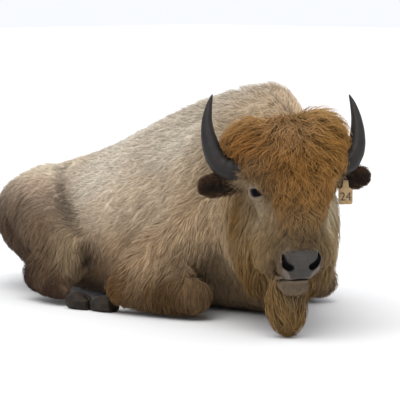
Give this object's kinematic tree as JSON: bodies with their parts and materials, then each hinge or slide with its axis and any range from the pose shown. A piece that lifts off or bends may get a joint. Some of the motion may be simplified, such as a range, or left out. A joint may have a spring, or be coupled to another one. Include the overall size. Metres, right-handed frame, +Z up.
{
  "type": "bison",
  "caption": "Life-size still model of a pale-coated bison lying on its chest with folded legs, its head turned to its right, a thick forelock, a beard, curved horns and an ear tag.",
  "frame": {"origin": "centre of the footprint's box, on the floor the animal lies on", "axes": "+X along the trunk towards the head, +Y to the animal's left, +Z up"},
  "size_m": [2.2936, 1.2082, 0.8692],
  "materials": {
    "coat": "dense pale tan wool, matte",
    "long_hair": "long ginger hair, matte",
    "ear_coat": "short dark brown hair",
    "horn": "dark grey horn, satin",
    "hoof": "dark hoof horn",
    "eye": "wet, glossy",
    "tag": "moulded tan plastic, satin"
  },
  "bodies": {
    "root": {"trunk": "coat", "neck": "coat", "head": "coat", "foreleg_right": "coat", "foreleg_left": "coat", "hindleg_right": "coat", "hindleg_left": "coat", "tail": "coat", "tail_tuft": "long_hair", "forelock": "long_hair", "beard": "long_hair", "ear_right": "ear_coat", "ear_left": "ear_coat", "horn_right": "horn", "horn_left": "horn", "fore_hoof_right": "hoof", "fore_hoof_left": "hoof", "hind_hoof_right": "hoof", "hind_hoof_left": "hoof", "eye_right": "eye", "eye_left": "eye", "ear_tag": "tag"}
  },
  "joints": []
}
